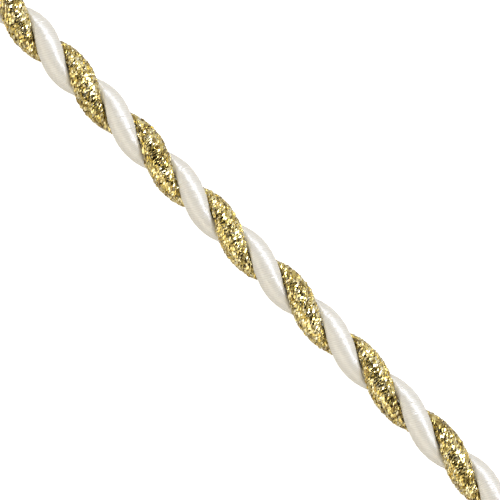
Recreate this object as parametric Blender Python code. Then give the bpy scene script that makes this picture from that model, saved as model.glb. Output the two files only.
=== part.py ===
# Twisted cord trim: a satin-wrapped ply and a metallic-wrapped ply laid round each other.
# The cord lies along X on the surface z = 0, and the origin is on that surface under its middle.
import math

import bmesh
import bpy

MM = 0.001

# Driving sizes of the cord
CORD_DIAMETER = 6.0 * MM
TURN_LENGTH = 16.25 * MM
TURNS = 8
CORD_LENGTH = TURNS * TURN_LENGTH
CORD_RADIUS = CORD_DIAMETER / 2.0

# Each ply is an oval, measured square to the cord, that is pressed flatter where it meets the other ply.
PLY_GAP = 0.3 * MM
PLY_HALF_WIDTH = 0.71 * CORD_RADIUS
OUTER_ROUNDNESS = 2.0
INNER_ROUNDNESS = 2.5

# The surface that the cord lies on presses each ply this much flatter where it rests.
REST_FLAT = 0.2 * MM

# Angle of the metallic ply at the cord's middle, from +Y towards +Z
MIDDLE_ANGLE = math.radians(160.0)

# Fineness of the solids
STEPS_PER_TURN = 16
SIDES = 18

# How the laid twist strays from an even one. Each row is the place at the start of one turn, from the left
# end: how far the twist leads an even one, in turns, how far the cord strays sideways, and how full the
# satin and the metallic ply are there, as shares of their nominal size. The rows repeat past the last one.
LAY = (
    # (lead, stray, satin_full, metallic_full)
    (0.000, 0.00 * MM, 1.005, 1.005),
    (0.021, 0.03 * MM, 1.025, 1.015),
    (0.062, -0.01 * MM, 1.005, 1.010),
    (0.068, -0.09 * MM, 0.985, 0.990),
    (0.084, -0.06 * MM, 0.990, 0.990),
    (0.086, 0.09 * MM, 0.985, 1.005),
    (0.061, 0.12 * MM, 0.985, 1.010),
    (0.003, 0.06 * MM, 0.995, 1.005),
)
LEAD, STRAY, SATIN_FULL, METALLIC_FULL = range(4)

SATIN_COLOUR = (0.74, 0.70, 0.62, 1.0)
METALLIC_COLOUR = (0.62, 0.46, 0.17, 1.0)


def lay_at(turn, column):
    """The lay table's value at a place counted in turns, on a smooth curve through the rows."""
    row = int(turn)
    before, start, end, after = (LAY[(row + offset) % len(LAY)][column] for offset in (-1, 0, 1, 2))
    share = turn - row
    left = 1.0 - share
    through = start * left * left * (1.0 + 2.0 * share) + end * share * share * (1.0 + 2.0 * left)
    bend = (end - before) / 2.0 * share * left * left - (after - start) / 2.0 * share * share * left
    return through + bend


def metallic_angle(turn):
    """Angle of the metallic ply round the cord at a place counted in turns."""
    middle = TURNS / 2.0
    turned = turn - middle + lay_at(turn, LEAD) - lay_at(middle, LEAD)
    return MIDDLE_ANGLE + math.tau * turned


def axis_height(turn):
    """Height of the cord's middle, which sinks a little where the ply that it rests on is less full."""
    metallic_under = (1.0 - math.sin(metallic_angle(turn))) / 2.0
    satin_full = lay_at(turn, SATIN_FULL)
    metallic_full = lay_at(turn, METALLIC_FULL)
    return CORD_RADIUS * (satin_full + (metallic_full - satin_full) * metallic_under) - REST_FLAT


def squared(value, roundness):
    """A cosine or sine bent towards a squarer outline as the roundness grows over 2."""
    return math.copysign(abs(value) ** (2.0 / roundness), value)


def ring_points(turn, ahead, full_column):
    """One section of a ply: an oval turned to its angle at that place and pressed flat on the surface."""
    full = lay_at(turn, full_column)
    angle = metallic_angle(turn) + ahead
    x = turn * TURN_LENGTH - CORD_LENGTH / 2.0
    seat = PLY_GAP / 2.0
    half_depth = (CORD_RADIUS - seat) / 2.0
    points = []
    for side in range(SIDES):
        # The sides keep their directions while the oval turns, so that they run straight along the cord.
        around = math.tau * side / SIDES - angle
        roundness = OUTER_ROUNDNESS if math.cos(around) >= 0.0 else INNER_ROUNDNESS
        outward = seat + half_depth * (1.0 + squared(math.cos(around), roundness)) * full
        across = PLY_HALF_WIDTH * squared(math.sin(around), roundness) * full
        y = outward * math.cos(angle) - across * math.sin(angle) + lay_at(turn, STRAY)
        z = outward * math.sin(angle) + across * math.cos(angle) + axis_height(turn)
        points.append((x, y, max(z, 0.0)))
    return points


def make_material(name, colour, metallic, roughness):
    """A Principled material for one ply."""
    material = bpy.data.materials.new(name)
    material.use_nodes = True
    shader = material.node_tree.nodes["Principled BSDF"]
    shader.inputs["Base Color"].default_value = colour
    shader.inputs["Metallic"].default_value = metallic
    shader.inputs["Roughness"].default_value = roughness
    return material


def make_ply(name, ahead, full_column, material):
    """One ply from cut end to cut end: its sections joined side by side, and a flat face on each end."""
    body = bmesh.new()
    rings = []
    for step in range(TURNS * STEPS_PER_TURN + 1):
        points = ring_points(step / STEPS_PER_TURN, ahead, full_column)
        rings.append([body.verts.new(point) for point in points])
    for ring, following in zip(rings, rings[1:]):
        for side in range(SIDES):
            beside = (side + 1) % SIDES
            body.faces.new((ring[side], ring[beside], following[beside], following[side]))
    body.faces.new(rings[0])
    body.faces.new(rings[-1])
    bmesh.ops.recalc_face_normals(body, faces=body.faces)
    mesh = bpy.data.meshes.new(name)
    body.to_mesh(mesh)
    body.free()
    mesh.shade_smooth()
    mesh.set_sharp_from_angle(angle=math.radians(50.0))
    mesh.materials.append(material)
    bpy.context.scene.collection.objects.link(bpy.data.objects.new(name, mesh))


for leftover in list(bpy.data.objects):
    bpy.data.objects.remove(leftover, do_unlink=True)

# The satin ply lies half a turn ahead of the metallic one. A whole number of turns brings both back to the
# same angle at each end, so that lengths laid end to end carry the twist on.
metallic = make_material("gold_metallic_thread", METALLIC_COLOUR, 1.0, 0.3)
satin = make_material("satin_floss", SATIN_COLOUR, 0.0, 0.35)
make_ply("metallic_ply", 0.0, METALLIC_FULL, metallic)
make_ply("satin_ply", math.pi, SATIN_FULL, satin)
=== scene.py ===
import math

import bmesh
import bpy
import numpy as np
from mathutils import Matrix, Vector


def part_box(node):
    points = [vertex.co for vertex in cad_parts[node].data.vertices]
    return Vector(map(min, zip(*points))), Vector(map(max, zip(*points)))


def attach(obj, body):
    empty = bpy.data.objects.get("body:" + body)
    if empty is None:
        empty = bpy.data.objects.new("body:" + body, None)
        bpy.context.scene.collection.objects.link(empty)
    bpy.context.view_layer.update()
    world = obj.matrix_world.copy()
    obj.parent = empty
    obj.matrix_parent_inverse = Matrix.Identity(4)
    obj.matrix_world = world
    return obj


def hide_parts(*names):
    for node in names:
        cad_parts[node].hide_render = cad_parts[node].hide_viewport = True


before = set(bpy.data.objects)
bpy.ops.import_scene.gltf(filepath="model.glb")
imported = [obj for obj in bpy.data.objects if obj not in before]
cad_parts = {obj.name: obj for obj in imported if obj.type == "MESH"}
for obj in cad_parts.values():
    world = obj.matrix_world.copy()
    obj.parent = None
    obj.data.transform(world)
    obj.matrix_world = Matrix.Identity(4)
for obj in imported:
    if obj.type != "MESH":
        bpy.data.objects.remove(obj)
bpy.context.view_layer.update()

# Satin ply
# A soft cotton core covered by glossy ivory floss of untwisted silky filaments. The floss is wound round the
# core in close, slightly uneven wraps, and the covered core is then twisted together with the metallic ply.
MM = 0.001
CORD_RADIUS = 3.0 * MM
TURNS = 8
low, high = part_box("satin_ply")
CORD_LENGTH = high.x - low.x
TURN_LENGTH = CORD_LENGTH / TURNS

# Angle of the metallic ply at the cord's middle, from +Y towards +Z
MIDDLE_ANGLE = math.radians(160.0)

# A ply's section, cut square across the cord. It begins just beside the cord's middle and is widest a third
# of the way to its outer side. Its outer side is round, and the side that meets the other ply nearly square.
PLY_SEAT = 0.08 * MM
PLY_DEPTH = CORD_RADIUS - PLY_SEAT
PLY_WIDEST = 0.35 * PLY_DEPTH
PLY_HALF_WIDTH = 0.71 * CORD_RADIUS
INNER_ROUNDNESS = 4.0
SECTION_STEPS = 360

# How far the cord sinks where it rests, and how far the ply's own face stays up to leave its threads room
REST_FLAT = 0.2 * MM
REST_LIFT = 0.1 * MM

# How the laid twist strays from an even one, with a row for the start of each turn: the twist's lead in
# turns, the cord's sideways stray, and how full the satin and the metallic ply are. The rows repeat.
LAY = np.array((
    # (lead, stray, satin_full, metallic_full)
    (0.000, 0.00 * MM, 1.005, 1.005),
    (0.021, 0.03 * MM, 1.025, 1.015),
    (0.062, -0.01 * MM, 1.005, 1.010),
    (0.068, -0.09 * MM, 0.985, 0.990),
    (0.084, -0.06 * MM, 0.990, 0.990),
    (0.086, 0.09 * MM, 0.985, 1.005),
    (0.061, 0.12 * MM, 0.985, 1.010),
    (0.003, 0.06 * MM, 0.995, 1.005),
))
LEAD, STRAY, SATIN_FULL, METALLIC_FULL = range(4)

# Where a ply lies round the cord from the metallic one, its column in the lay table, and how wide it is
SATIN_PLY = (math.pi, SATIN_FULL, 0.98)

# A ply leans round the cord by this angle, measured along its own middle line.
PLY_LEAN = math.atan(math.pi * CORD_RADIUS / TURN_LENGTH)
PLY_LENGTH_PER_TURN = TURN_LENGTH / math.cos(PLY_LEAN)

# The threads are wound this far past both ends of the cord, in turns, and then cut off square.
PLY_OVERRUN = 0.15

# A point this near the cut counts as on it. A coarser value can join parts of a rim, and leave it open.
CUT_TOLERANCE = 1e-9


def lay_at(turn, column):
    """The lay table's value at places counted in turns, on a smooth curve through the rows."""
    row = np.floor(turn).astype(int)
    before, start, end, after = (LAY[(row + offset) % len(LAY), column] for offset in (-1, 0, 1, 2))
    share = turn - row
    left = 1.0 - share
    through = start * left * left * (1.0 + 2.0 * share) + end * share * share * (1.0 + 2.0 * left)
    bend = (end - before) / 2.0 * share * left * left - (after - start) / 2.0 * share * share * left
    return through + bend


def metallic_angle(turn):
    """Angle of the metallic ply round the cord, from +Y towards +Z."""
    middle = TURNS / 2.0
    return MIDDLE_ANGLE + math.tau * (turn - middle + lay_at(turn, LEAD) - lay_at(middle, LEAD))


def axis_height(turn):
    """Height of the cord's middle, which sinks a little where the ply that it rests on is less full."""
    metallic_under = (1.0 - np.sin(metallic_angle(turn))) / 2.0
    satin_full = lay_at(turn, SATIN_FULL)
    metallic_full = lay_at(turn, METALLIC_FULL)
    return CORD_RADIUS * (satin_full + (metallic_full - satin_full) * metallic_under) - REST_FLAT


def ply_section():
    """A ply's section at even steps round it from the middle of its inner side: how far it is out from the
    cord's middle, how far across, which way it faces there, and its whole length round."""
    turned = np.linspace(-math.pi, math.pi, SECTION_STEPS * 8 + 1)
    cosine = np.cos(turned)
    sine = np.sin(turned)
    power = np.where(cosine >= 0.0, 1.0, 2.0 / INNER_ROUNDNESS)
    reach = np.where(cosine >= 0.0, PLY_DEPTH - PLY_WIDEST, PLY_WIDEST)
    out = PLY_SEAT + PLY_WIDEST + reach * np.sign(cosine) * np.abs(cosine) ** power
    across = PLY_HALF_WIDTH * np.sign(sine) * np.abs(sine) ** power
    way = np.append(0.0, np.cumsum(np.hypot(np.diff(out), np.diff(across))))
    even = np.linspace(0.0, way[-1], SECTION_STEPS + 1)
    out = np.interp(even, way, out)
    across = np.interp(even, way, across)
    facing_out = np.gradient(across)
    facing_across = -np.gradient(out)
    size = np.hypot(facing_out, facing_across)
    return out, across, facing_out / size, facing_across / size, way[-1]


SECTION_OUT, SECTION_ACROSS, FACING_OUT, FACING_ACROSS, PLY_ROUND = ply_section()


def on_ply(along, around, proud, ply):
    """Points on a ply. A place along it is in turns and square to the ply itself, around is the share of the
    way round it from its outer side, and proud is the height over its surface."""
    ahead, full_column, width = ply
    place = (around + 0.5) % 1.0 * SECTION_STEPS
    steps = np.arange(SECTION_STEPS + 1)
    depth = np.interp(place, steps, SECTION_OUT)
    across = np.interp(place, steps, SECTION_ACROSS) * width
    twist = math.sin(PLY_LEAN) * math.tau / TURN_LENGTH
    slant = -across * math.sin(PLY_LEAN) / (math.cos(PLY_LEAN) + depth * twist)
    turn = along + slant / TURN_LENGTH
    full = lay_at(turn, full_column)
    angle = metallic_angle(turn) + ahead
    proud_out = proud * np.interp(place, steps, FACING_OUT)
    proud_across = proud * np.interp(place, steps, FACING_ACROSS)
    out = depth * full + proud_out
    x = turn * TURN_LENGTH - CORD_LENGTH / 2.0
    y = out * np.cos(angle) - (across * full + proud_across) * np.sin(angle) + lay_at(turn, STRAY)
    # Where the cord rests, the ply is pressed flat and its threads keep their relief under it.
    z = (depth * np.sin(angle) + across * np.cos(angle)) * full + axis_height(turn)
    z = np.maximum(z, REST_LIFT) + proud_out * np.sin(angle) + proud_across * np.cos(angle)
    return np.stack((x, y, np.maximum(z, 0.0)), axis=-1)


def wander(place, knots):
    """A smooth random line through the knots, one at each whole number."""
    index = np.floor(place).astype(int)
    share = place - index
    eased = share * share * (3.0 - 2.0 * share)
    start = knots[index % len(knots)]
    return start + (knots[(index + 1) % len(knots)] - start) * eased


def tube_mesh(name, points, lengthwise, sideways):
    """A tube through rings of points, cut square at both ends of the cord and closed there. Its map holds
    the places along the tube and around it."""
    rings, sides = points.shape[:2]
    ring, side = np.meshgrid(np.arange(rings - 1), np.arange(sides), indexing="ij")
    following = ring + 1
    beside = (side + 1) % sides
    corners = (
        ring * sides + side,
        ring * sides + beside,
        following * sides + beside,
        following * sides + side,
    )
    faces = np.stack(corners, axis=-1).reshape(-1, 4)
    mesh = bpy.data.meshes.new(name)
    mesh.from_pydata(points.reshape(-1, 3).tolist(), [], faces.tolist())
    places = (
        (lengthwise[ring, side], sideways[side]),
        (lengthwise[ring, side], sideways[side + 1]),
        (lengthwise[following, side], sideways[side + 1]),
        (lengthwise[following, side], sideways[side]),
    )
    corner_places = np.stack([np.stack(place, axis=-1) for place in places], axis=-2)
    mesh.uv_layers.new(name="wrap").data.foreach_set("uv", corner_places.astype(np.float32).ravel())
    body = bmesh.new()
    body.from_mesh(mesh)
    for end in (-1.0, 1.0):
        cut = bmesh.ops.bisect_plane(
            body,
            geom=body.verts[:] + body.edges[:] + body.faces[:],
            dist=CUT_TOLERANCE,
            plane_co=(end * CORD_LENGTH / 2.0, 0.0, 0.0),
            plane_no=(end, 0.0, 0.0),
            clear_outer=True,
        )
        rim = [piece for piece in cut["geom_cut"] if isinstance(piece, bmesh.types.BMEdge)]
        bmesh.ops.edgeloop_fill(body, edges=rim)
    bmesh.ops.recalc_face_normals(body, faces=body.faces)
    body.to_mesh(mesh)
    body.free()
    return mesh


def shade_smooth(mesh, sharpest):
    """Smooth shading, apart from edges that turn by more than this many degrees, as round a cut end."""
    mesh.shade_smooth()
    mesh.set_sharp_from_angle(angle=math.radians(sharpest))


def add_piece(name, mesh, material):
    """An object of one mesh and one material, linked to the scene."""
    mesh.materials.append(material)
    piece = bpy.data.objects.new(name, mesh)
    bpy.context.scene.collection.objects.link(piece)
    return piece


def add_node(tree, kind, **settings):
    """A node with its settings, where a name that isn't one of the node's own settings is an input's."""
    node = tree.nodes.new(kind)
    for name, value in settings.items():
        if hasattr(node, name):
            setattr(node, name, value)
        else:
            node.inputs[name.replace("_", " ")].default_value = value
    return node


def add_tint(tree, first, last):
    """A node that mixes two colours. Its colours are inputs 6 and 7, and its own colour is output 2."""
    tint = add_node(tree, "ShaderNodeMix", data_type="RGBA")
    tint.inputs[6].default_value = (*first, 1.0)
    tint.inputs[7].default_value = (*last, 1.0)
    return tint


def new_material(name):
    """An empty Principled material: the material, its node tree and its shader."""
    material = bpy.data.materials.new(name)
    material.use_nodes = True
    return material, material.node_tree, material.node_tree.nodes["Principled BSDF"]


FLOSS_WRAP = 0.29 * MM
FLOSS_SIDES = 44
FLOSS_RIDGE = 0.036 * MM
FLOSS_TILT = 0.012 * MM
FLOSS_UNEVEN = 0.026 * MM
FLOSS_STRAY = 0.025 * MM
FLOSS_SEED = 11

# Heights of a wrap's three rings, as shares of its ridge: sunk between two wraps and raised on the wrap
FLOSS_PROFILE = np.array((-0.7, 0.3, 0.3))
RIDGE_CHANGE = 0.5

# How many times a wrap the floss changes its ridge, its tilt, its unevenness and its stray
FLOSS_PACES = (3.0, 4.0, 13.0, 2.0)
FLOSS_KNOTS = 9001

FLOSS_SHARP = 60.0
FLOSS_DEEP_TINT = (0.77, 0.73, 0.645)
FLOSS_PALE_TINT = (0.90, 0.865, 0.785)
# Colour of the painted shade in the grooves between two wraps
FLOSS_PAINTED_SHADE_TINT = (0.56, 0.52, 0.44)


def floss_points(rings):
    """The floss: three rings a wrap, sunk between wraps and raised on them, with no two wraps quite alike."""
    ring, side = np.meshgrid(np.arange(rings), np.arange(FLOSS_SIDES), indexing="ij")
    around = side / FLOSS_SIDES - 0.5
    number, part = np.divmod(ring, len(FLOSS_PROFILE))
    thread = number + around + 0.5
    chances = np.random.default_rng(FLOSS_SEED).uniform(-1.0, 1.0, (len(FLOSS_PACES), FLOSS_KNOTS))
    ridge, tilt, uneven, stray = (wander(thread * pace, knots) for pace, knots in zip(FLOSS_PACES, chances))
    height = FLOSS_RIDGE * FLOSS_PROFILE[part] * (1.0 + RIDGE_CHANGE * ridge)
    height = height + FLOSS_TILT * (part - 1.0) * tilt
    height = height + FLOSS_UNEVEN * uneven
    wrap_count = ring / len(FLOSS_PROFILE)
    length = (wrap_count + around) * FLOSS_WRAP + FLOSS_STRAY * stray
    along = length / PLY_LENGTH_PER_TURN - PLY_OVERRUN
    return wrap_count, on_ply(along, around, height, SATIN_PLY)


def satin_material():
    """Ivory floss: fine filament streaks that run round the ply, painted shade between wraps and a silky
    gloss.
    """
    material, tree, shader = new_material("satin_floss")
    place = add_node(tree, "ShaderNodeUVMap", uv_map="wrap")
    stretch = add_node(tree, "ShaderNodeMapping", Scale=(1.7, 0.35, 1.0))
    streaks = add_node(
        tree,
        "ShaderNodeTexNoise",
        noise_dimensions="2D",
        Scale=1.0,
        Detail=4.0,
        Roughness=0.65,
    )
    tint = add_tint(tree, FLOSS_DEEP_TINT, FLOSS_PALE_TINT)
    parts = add_node(tree, "ShaderNodeSeparateXYZ")
    # Painted shade: the floss colour is darkened towards the groove between two wraps, where the rings sink.
    from_valley = add_node(tree, "ShaderNodeMath", operation="PINGPONG")
    from_valley.inputs[1].default_value = 0.5
    painted_shade_amount = add_node(tree, "ShaderNodeMapRange", From_Max=0.25, To_Min=0.4, To_Max=0.0)
    shaded = add_tint(tree, FLOSS_PALE_TINT, FLOSS_PAINTED_SHADE_TINT)
    gloss = add_node(tree, "ShaderNodeMapRange", To_Min=0.34, To_Max=0.48)
    bump = add_node(tree, "ShaderNodeBump", Strength=0.5, Distance=0.03 * MM)
    tree.links.new(place.outputs["UV"], stretch.inputs["Vector"])
    tree.links.new(place.outputs["UV"], parts.inputs["Vector"])
    tree.links.new(stretch.outputs["Vector"], streaks.inputs["Vector"])
    tree.links.new(streaks.outputs["Fac"], tint.inputs["Factor"])
    tree.links.new(streaks.outputs["Fac"], gloss.inputs["Value"])
    tree.links.new(streaks.outputs["Fac"], bump.inputs["Height"])
    tree.links.new(parts.outputs["X"], from_valley.inputs[0])
    tree.links.new(from_valley.outputs["Value"], painted_shade_amount.inputs["Value"])
    tree.links.new(painted_shade_amount.outputs["Result"], shaded.inputs["Factor"])
    tree.links.new(tint.outputs[2], shaded.inputs[6])
    tree.links.new(shaded.outputs[2], shader.inputs["Base Color"])
    tree.links.new(gloss.outputs["Result"], shader.inputs["Roughness"])
    tree.links.new(bump.outputs["Normal"], shader.inputs["Normal"])
    shader.inputs["IOR"].default_value = 1.7
    shader.inputs["Specular IOR Level"].default_value = 0.84
    shader.inputs["Subsurface Weight"].default_value = 0.3
    shader.inputs["Subsurface Radius"].default_value = (1.0, 0.9, 0.75)
    shader.inputs["Subsurface Scale"].default_value = 0.4 * MM
    return material


def make_satin_ply():
    """The floss-wrapped ply, from cut end to cut end."""
    wraps = int((TURNS + 2.0 * PLY_OVERRUN) * PLY_LENGTH_PER_TURN / FLOSS_WRAP)
    wrap_count, points = floss_points(wraps * len(FLOSS_PROFILE))
    sideways = np.arange(FLOSS_SIDES + 1) / FLOSS_SIDES * PLY_ROUND / MM
    mesh = tube_mesh("satin_ply_floss", points, wrap_count, sideways)
    shade_smooth(mesh, FLOSS_SHARP)
    return add_piece("satin_ply_floss", mesh, satin_material())


satin_ply = make_satin_ply()
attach(satin_ply, "root")
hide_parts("satin_ply")

# Metallic ply
# The same kind of cotton core, hidden under three gold thread windings laid side by side. Each thread is a
# narrow metallised film rolled round a fine yarn, so it is crinkled into many small facets.
METALLIC_PLY = (0.0, METALLIC_FULL, 1.03)
GOLD_WRAP = 0.36 * MM
GOLD_STARTS = 3
GOLD_WIDTH = 0.50 * MM
GOLD_HEIGHT = 0.28 * MM

# Outline of the rolled film, cut across: shares of its width and height, from its lower left edge round
GOLD_OUTLINE = np.array((
    # (across, height)
    (-0.40, -1.00),
    (-0.50, -0.35),
    (-0.27, 0.00),
    (0.27, 0.00),
    (0.50, -0.35),
    (0.40, -1.00),
))

# The film is pinched across into scales. A scale's edges stand off the pinch by a share of the pinch's depth,
# and the film is narrower in the pinch.
GOLD_SCALE = 0.42 * MM
GOLD_PINCH = 0.11 * MM
PINCH_EDGE = 0.3
PINCH_NARROWS = 0.25

# How much the scales differ, as shares of their length and width, and how far each rolls, tilts and lifts,
# how far each point of the film strays, and how far and how slowly the thread sways to its sides
LENGTH_CHANGE = 0.4
WIDTH_CHANGE = 0.2
SCALE_ROLL = 0.13
SCALE_TILT = 0.09
SCALE_LIFT = 0.11 * MM
GOLD_CRINKLE = 0.028 * MM
GOLD_SWAY = 0.09 * MM
SWAY_LENGTH = 2.3 * MM
SWAY_KNOTS = 4096
GOLD_SEED = 50

# Soft lumps in the ply under the gold. Each is a wave that runs round it 3 to 7 times and has its own length.
GOLD_LUMPS = 9
LUMP_HEIGHT = 0.018 * MM
LUMP_ROUNDS = (3, 8)
LUMP_LENGTHS = (1.4 * MM, 3.2 * MM)
LUMP_SEED = 21

GOLD_TINTS = (
    # (share of the scales, colour)
    (0.00, (0.13, 0.075, 0.012, 1.0)),
    (0.16, (0.30, 0.205, 0.026, 1.0)),
    (0.30, (0.47, 0.36, 0.082, 1.0)),
    (0.70, (0.66, 0.545, 0.225, 1.0)),
    (1.00, (0.78, 0.71, 0.47, 1.0)),
)


def gold_material():
    """Crinkled gold film: each scale is brighter, paler or browner than the next, with fine creases."""
    material, tree, shader = new_material("gold_metallic_thread")
    place = add_node(tree, "ShaderNodeUVMap", uv_map="wrap")
    parts = add_node(tree, "ShaderNodeSeparateXYZ")
    number = add_node(tree, "ShaderNodeMath", operation="FLOOR")
    chance = add_node(tree, "ShaderNodeTexWhiteNoise", noise_dimensions="1D")
    tint = add_node(tree, "ShaderNodeValToRGB")
    tint.color_ramp.elements[0].color = GOLD_TINTS[0][1]
    tint.color_ramp.elements[1].color = GOLD_TINTS[-1][1]
    for position, colour in GOLD_TINTS[1:-1]:
        tint.color_ramp.elements.new(position).color = colour
    gloss = add_node(tree, "ShaderNodeMapRange", To_Min=0.13, To_Max=0.05)
    body_place = add_node(tree, "ShaderNodeTexCoord")
    creases = add_node(tree, "ShaderNodeTexNoise", Scale=9000.0, Detail=2.0)
    bump = add_node(tree, "ShaderNodeBump", Strength=0.25, Distance=0.02 * MM)
    tree.links.new(place.outputs["UV"], parts.inputs["Vector"])
    tree.links.new(parts.outputs["X"], number.inputs[0])
    tree.links.new(number.outputs["Value"], chance.inputs["W"])
    tree.links.new(chance.outputs["Value"], tint.inputs["Fac"])
    tree.links.new(chance.outputs["Value"], gloss.inputs["Value"])
    tree.links.new(body_place.outputs["Object"], creases.inputs["Vector"])
    tree.links.new(creases.outputs["Fac"], bump.inputs["Height"])
    tree.links.new(tint.outputs["Color"], shader.inputs["Base Color"])
    tree.links.new(gloss.outputs["Result"], shader.inputs["Roughness"])
    tree.links.new(bump.outputs["Normal"], shader.inputs["Normal"])
    shader.inputs["Metallic"].default_value = 1.0
    shader.inputs["Coat Weight"].default_value = 0.9
    shader.inputs["Coat Roughness"].default_value = 0.1
    return material


def gold_lumps(along, around):
    """Height of the soft lumps that the gold threads ride over, the same for every thread."""
    rng = np.random.default_rng(LUMP_SEED)
    height = np.zeros(along.shape)
    for _ in range(GOLD_LUMPS):
        rounds = rng.integers(*LUMP_ROUNDS)
        length = rng.uniform(*LUMP_LENGTHS) * rng.choice((-1.0, 1.0))
        wave = rounds * around + along * PLY_LENGTH_PER_TURN / length + rng.uniform()
        height = height + LUMP_HEIGHT * np.sin(math.tau * wave)
    return height


def make_gold_thread(start, material):
    """One gold thread, wound round the whole ply and crinkled. Each scale has a ring at its start, one at its
    end and one in the pinch after it."""
    rng = np.random.default_rng(GOLD_SEED + start)
    sides = len(GOLD_OUTLINE)
    pitch = GOLD_STARTS * GOLD_WRAP / PLY_LENGTH_PER_TURN
    thread_length = (TURNS + 2.0 * PLY_OVERRUN) / pitch * PLY_ROUND
    scales = int(thread_length / GOLD_SCALE)
    lengths = rng.uniform(1.0 - LENGTH_CHANGE, 1.0 + LENGTH_CHANGE, scales)
    starts = np.concatenate(([0.0], np.cumsum(lengths)[:-1])) * thread_length / lengths.sum()
    ends = np.append(starts[1:], thread_length)
    edge = GOLD_PINCH * PINCH_EDGE
    place = np.stack((starts + edge, ends - edge, ends), axis=1).reshape(-1, 1)
    sunk = np.tile((0.0, 0.0, 1.0), scales)[:, None]
    number = np.repeat(np.arange(scales), 3)[:, None]
    chance = rng.uniform(-1.0, 1.0, scales)[number]
    roll = rng.normal(0.0, SCALE_ROLL, scales)[number]
    tilt = rng.normal(0.0, SCALE_TILT, scales)[number]
    slow = rng.uniform(-1.0, 1.0, SWAY_KNOTS)
    sway = (chance + wander(place / SWAY_LENGTH, slow)) * GOLD_SWAY
    lift = rng.uniform(-SCALE_LIFT, SCALE_LIFT, scales)[number]
    middle = ((starts + ends) / 2.0)[number]
    across = GOLD_WIDTH * GOLD_OUTLINE[:, 0] + rng.uniform(-1.0, 1.0, (len(place), sides)) * GOLD_CRINKLE
    height = GOLD_HEIGHT * GOLD_OUTLINE[:, 1] + rng.uniform(-1.0, 1.0, (len(place), sides)) * GOLD_CRINKLE
    width = rng.uniform(1.0 - WIDTH_CHANGE, 1.0 + WIDTH_CHANGE, scales)[number]
    across = across * (1.0 - PINCH_NARROWS * sunk) * width
    height = height - sunk * GOLD_PINCH
    across_thread = across * np.cos(roll) - height * np.sin(roll) + sway
    height = across * np.sin(roll) + height * np.cos(roll) + lift + (place - middle) * tilt
    round_count = place / PLY_ROUND
    along = (round_count + start / GOLD_STARTS) * pitch - PLY_OVERRUN + across_thread / PLY_LENGTH_PER_TURN
    around = round_count + np.zeros((1, sides))
    height = height + gold_lumps(along, around)
    points = on_ply(along, around, height, METALLIC_PLY)
    # On the map each scale fills one whole number, so that the material can give it a colour of its own.
    lengthwise = number + np.tile((0.15, 0.85, 1.0), scales)[:, None] + np.zeros((1, sides))
    name = f"gold_thread_{start + 1}"
    mesh = tube_mesh(name, points, lengthwise, np.arange(sides + 1) / sides)
    return add_piece(name, mesh, material)


gold = gold_material()
for start in range(GOLD_STARTS):
    gold_thread = make_gold_thread(start, gold)
    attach(gold_thread, "root")
    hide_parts("metallic_ply")

# Cotton core
# Soft undyed cotton yarns laid side by side, on which both plies are wound. They show only where the cord is
# cut: there they stand out of each ply by 0.25 mm at most, each a little longer or shorter than the next.
CORE_DEPTH = 0.27 * MM
CORE_STEPS = 24
CORE_SIDES = 24
CORE_SHARP = 60.0
YARN_RADIUS = 0.2 * MM
YARN_SIDES = 8
YARN_SHORTEST = 0.05 * MM
YARN_LONGEST = 0.25 * MM
YARN_UNEVEN = 0.015 * MM
YARN_THINNEST = 0.92
YARN_THICKEST = 1.12
YARN_SHARP = 50.0
YARN_SEED = 7

# Rings of a yarn's end, from inside the ply to the cut
YARN_RINGS = (
    # (inward from the tip, share of the yarn's thickness)
    (1.2 * MM, 1.0),
    (0.08 * MM, 1.0),
    (0.02 * MM, 0.75),
)

# Thickness of the threads round the core yarns of each ply
FLOSS_COVER = 0.12 * MM
GOLD_COVER = 0.22 * MM

COTTON_DEEP_TINT = (0.62, 0.57, 0.48)
COTTON_PALE_TINT = (0.86, 0.83, 0.76)


def cotton_material():
    """Undyed cotton: matt, a little uneven and soft."""
    material, tree, shader = new_material("cotton_core")
    place = add_node(tree, "ShaderNodeTexCoord")
    fibres = add_node(tree, "ShaderNodeTexNoise", Scale=4000.0, Detail=3.0)
    tint = add_tint(tree, COTTON_DEEP_TINT, COTTON_PALE_TINT)
    bump = add_node(tree, "ShaderNodeBump", Strength=0.6, Distance=0.04 * MM)
    tree.links.new(place.outputs["Object"], fibres.inputs["Vector"])
    tree.links.new(fibres.outputs["Fac"], tint.inputs["Factor"])
    tree.links.new(fibres.outputs["Fac"], bump.inputs["Height"])
    tree.links.new(tint.outputs[2], shader.inputs["Base Color"])
    tree.links.new(bump.outputs["Normal"], shader.inputs["Normal"])
    shader.inputs["Roughness"].default_value = 0.9
    shader.inputs["Specular IOR Level"].default_value = 0.2
    return material


def yarn_places(cover, wide):
    """Places of the core yarns in a ply's section, out and across, packed side by side inside the cover."""
    places = []
    width = PLY_HALF_WIDTH * wide - cover - YARN_RADIUS
    row_step = YARN_RADIUS * math.sqrt(3.0)
    rows = int(width / row_step)
    columns = int(PLY_DEPTH / YARN_RADIUS)
    for row in range(-rows, rows + 1):
        across = row * row_step
        for column in range(-columns, columns + 1):
            out = column * 2.0 * YARN_RADIUS + (row % 2) * YARN_RADIUS
            outer = out >= 0.0
            depth = (PLY_DEPTH - PLY_WIDEST if outer else PLY_WIDEST) - cover - YARN_RADIUS
            roundness = 2.0 if outer else INNER_ROUNDNESS
            if abs(out / depth) ** roundness + abs(across / width) ** roundness <= 1.0:
                places.append((PLY_SEAT + PLY_WIDEST + out, across))
    return places


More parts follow.
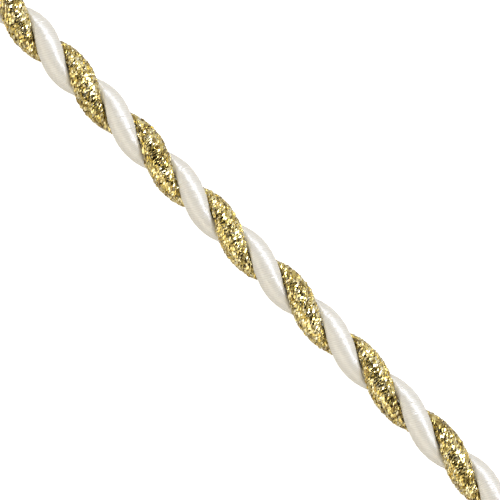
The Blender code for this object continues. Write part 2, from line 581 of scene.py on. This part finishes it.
def add_yarn_end(body, middle, end, tip, rng):
    """One yarn's short end, along X, with a softly rounded and uneven cut."""
    rings = []
    for inward, share in YARN_RINGS:
        ring = []
        for side in range(YARN_SIDES):
            turned = math.tau * side / YARN_SIDES
            size = YARN_RADIUS * share * rng.uniform(YARN_THINNEST, YARN_THICKEST)
            x = end * (CORD_LENGTH / 2.0 + tip - inward + rng.uniform(-1.0, 1.0) * YARN_UNEVEN)
            y = middle[0] + size * math.cos(turned)
            z = middle[1] + size * math.sin(turned)
            ring.append(body.verts.new((x, y, z)))
        rings.append(ring)
    for ring, following in zip(rings, rings[1:]):
        for side in range(YARN_SIDES):
            beside = (side + 1) % YARN_SIDES
            body.faces.new((ring[side], ring[beside], following[beside], following[side]))
    body.faces.new(rings[0])
    top = body.verts.new((end * (CORD_LENGTH / 2.0 + tip), middle[0], middle[1]))
    for side in range(YARN_SIDES):
        body.faces.new((rings[-1][side], rings[-1][(side + 1) % YARN_SIDES], top))


def make_core_ends(name, ply, cover, material):
    """The cut core yarns at both ends of a ply."""
    ahead, _, width = ply
    rng = np.random.default_rng(YARN_SEED)
    body = bmesh.new()
    for end in (-1.0, 1.0):
        turn = np.array((1.0 + end) / 2.0 * TURNS)
        angle = metallic_angle(turn) + ahead
        for out, across in yarn_places(cover, width):
            y = out * math.cos(angle) - across * math.sin(angle) + lay_at(turn, STRAY)
            z = out * math.sin(angle) + across * math.cos(angle) + axis_height(turn)
            add_yarn_end(body, (float(y), float(z)), end, rng.uniform(YARN_SHORTEST, YARN_LONGEST), rng)
    bmesh.ops.recalc_face_normals(body, faces=body.faces)
    mesh = bpy.data.meshes.new(name)
    body.to_mesh(mesh)
    body.free()
    shade_smooth(mesh, YARN_SHARP)
    return add_piece(name, mesh, material)


def make_metallic_core(material):
    """The core that the gold threads are wound on, from cut end to cut end."""
    rings = TURNS * CORE_STEPS
    along = np.linspace(-PLY_OVERRUN, TURNS + PLY_OVERRUN, rings)[:, None] + np.zeros((1, CORE_SIDES))
    around = np.arange(CORE_SIDES)[None, :] / CORE_SIDES + np.zeros((rings, 1))
    points = on_ply(along, around, np.full(along.shape, -CORE_DEPTH), METALLIC_PLY)
    mesh = tube_mesh("metallic_ply_core", points, along, np.arange(CORE_SIDES + 1) / CORE_SIDES)
    shade_smooth(mesh, CORE_SHARP)
    return add_piece("metallic_ply_core", mesh, material)


cotton = cotton_material()
metallic_core = make_metallic_core(cotton)
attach(metallic_core, "root")
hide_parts("metallic_ply")
for node, ply, cover in (("satin_ply", SATIN_PLY, FLOSS_COVER), ("metallic_ply", METALLIC_PLY, GOLD_COVER)):
    core_ends = make_core_ends(f"{node}_core_ends", ply, cover, cotton)
    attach(core_ends, "root")
    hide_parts(node)

# Surface, camera and lights
# The cord lies on a plain white surface and is seen from straight above. A long bright light and a faint low
# one stand beside it, a soft one hangs overhead, and the studio round them is pale at the sides, dark on top.
FLOOR_SIDE = 4.0
FLOOR_DROP = 0.02 * MM
PHOTO_SIDE = 500
CORD_PIXELS = 38.5
PIXEL = 2.0 * CORD_RADIUS / CORD_PIXELS
CAMERA_TURN = math.radians(45.3)
CAMERA_AIM = (0.89 * MM, 0.30 * MM)
CAMERA_HEIGHT = 0.6
SENSOR = 36.0
NEAR_TINT = (1.24, 1.17, 1.02)
FAR_TINT = (1.01, 1.02, 1.05)
MATT_SHARE = 0.62


def make_floor():
    """A wide plain surface that is whiter to the eye than the light that it gives back to the cord."""
    mesh = bpy.data.meshes.new("surface")
    half = FLOOR_SIDE / 2.0
    corners = [(-half, -half, 0.0), (half, -half, 0.0), (half, half, 0.0), (-half, half, 0.0)]
    mesh.from_pydata(corners, [], [(0, 1, 2, 3)])
    material, tree, shader = new_material("white_surface")
    shader.inputs["Base Color"].default_value = (0.88, 0.88, 0.88, 1.0)
    shader.inputs["Roughness"].default_value = 0.9
    shader.inputs["Specular IOR Level"].default_value = 0.0
    shader.inputs["Emission Color"].default_value = (1.0, 1.0, 1.0, 1.0)
    ray = add_node(tree, "ShaderNodeLightPath")
    glow = add_node(tree, "ShaderNodeMapRange", To_Min=0.12, To_Max=0.9)
    tree.links.new(ray.outputs["Is Camera Ray"], glow.inputs["Value"])
    tree.links.new(glow.outputs["Result"], shader.inputs["Emission Strength"])
    floor = add_piece("surface", mesh, material)
    floor.location.z = -FLOOR_DROP
    return floor


make_floor()


def make_camera():
    """A long lens straight above the cord, turned so that the cord runs from corner to corner."""
    data = bpy.data.cameras.new("camera")
    data.sensor_width = SENSOR
    data.lens = SENSOR * (CAMERA_HEIGHT - CORD_RADIUS) / (PHOTO_SIDE * PIXEL)
    data.clip_start = 0.01
    data.clip_end = 20.0
    camera = bpy.data.objects.new("camera", data)
    camera.location = (CAMERA_AIM[0], CAMERA_AIM[1], CAMERA_HEIGHT)
    camera.rotation_euler = (0.0, 0.0, CAMERA_TURN)
    bpy.context.scene.collection.objects.link(camera)
    bpy.context.scene.camera = camera


make_camera()


def add_light(name, tilt, distance, length, width, energy, colour):
    """A soft light aimed at the cord, which isn't seen itself. It leans by its tilt from straight above the
    cord towards +Y."""
    data = bpy.data.lights.new(name, "AREA")
    data.shape = "RECTANGLE"
    data.size = length
    data.size_y = width
    data.energy = energy
    data.color = colour
    light = bpy.data.objects.new(name, data)
    light.location = (0.0, math.sin(tilt) * distance, math.cos(tilt) * distance)
    light.rotation_euler = (-tilt, 0.0, 0.0)
    light.visible_camera = False
    bpy.context.scene.collection.objects.link(light)
    return light


# The key light makes the bright band on both plies. It and the low light are seen only in the gloss.
key_light = add_light(
    "key_light",
    tilt=math.radians(43.5),
    distance=1.0,
    length=2.6,
    width=0.21,
    energy=25.5,
    colour=(0.90, 0.97, 1.14),
)
key_light.visible_diffuse = False
low_light = add_light(
    "low_light",
    tilt=math.radians(-56.0),
    distance=1.0,
    length=2.6,
    width=0.45,
    energy=4.5,
    colour=(1.0, 0.94, 0.82),
)
low_light.visible_diffuse = False

# The overhead light is weak and wide, and isn't seen in the gloss.
overhead_light = add_light(
    "overhead_light",
    tilt=math.radians(20.0),
    distance=1.2,
    length=1.5,
    width=1.5,
    energy=9.0,
    colour=(1.0, 1.0, 1.0),
)
overhead_light.visible_glossy = False


def make_world():
    """Pale surroundings, dark straight overhead, a little warmer on the near side. Matt surfaces get only a
    share of their light."""
    world = bpy.data.worlds.new("studio")
    bpy.context.scene.world = world
    world.use_nodes = True
    tree = world.node_tree
    background = tree.nodes["Background"]
    place = add_node(tree, "ShaderNodeTexCoord")
    parts = add_node(tree, "ShaderNodeSeparateXYZ")
    flatten = add_node(tree, "ShaderNodeVectorMath", operation="MULTIPLY")
    flatten.inputs[1].default_value = (0.6, 1.0, 0.0)
    aside = add_node(tree, "ShaderNodeVectorMath", operation="LENGTH")
    shade = add_node(
        tree,
        "ShaderNodeMapRange",
        interpolation_type="SMOOTHSTEP",
        From_Min=0.32,
        From_Max=0.72,
        To_Min=0.04,
        To_Max=1.12,
    )
    side = add_node(tree, "ShaderNodeMapRange", From_Min=-0.8, From_Max=0.8)
    tint = add_tint(tree, NEAR_TINT, FAR_TINT)
    ray = add_node(tree, "ShaderNodeLightPath")
    weak = add_node(tree, "ShaderNodeMapRange", To_Min=1.0, To_Max=MATT_SHARE)
    strength = add_node(tree, "ShaderNodeMath", operation="MULTIPLY")
    tree.links.new(place.outputs["Generated"], parts.inputs["Vector"])
    tree.links.new(place.outputs["Generated"], flatten.inputs[0])
    tree.links.new(flatten.outputs["Vector"], aside.inputs[0])
    tree.links.new(aside.outputs["Value"], shade.inputs["Value"])
    tree.links.new(parts.outputs["Y"], side.inputs["Value"])
    tree.links.new(side.outputs["Result"], tint.inputs["Factor"])
    tree.links.new(ray.outputs["Is Diffuse Ray"], weak.inputs["Value"])
    tree.links.new(shade.outputs["Result"], strength.inputs[0])
    tree.links.new(weak.outputs["Result"], strength.inputs[1])
    tree.links.new(strength.outputs["Value"], background.inputs["Strength"])
    tree.links.new(tint.outputs[2], background.inputs["Color"])


make_world()
bpy.context.scene.view_settings.view_transform = "Standard"

bpy.context.view_layer.update()
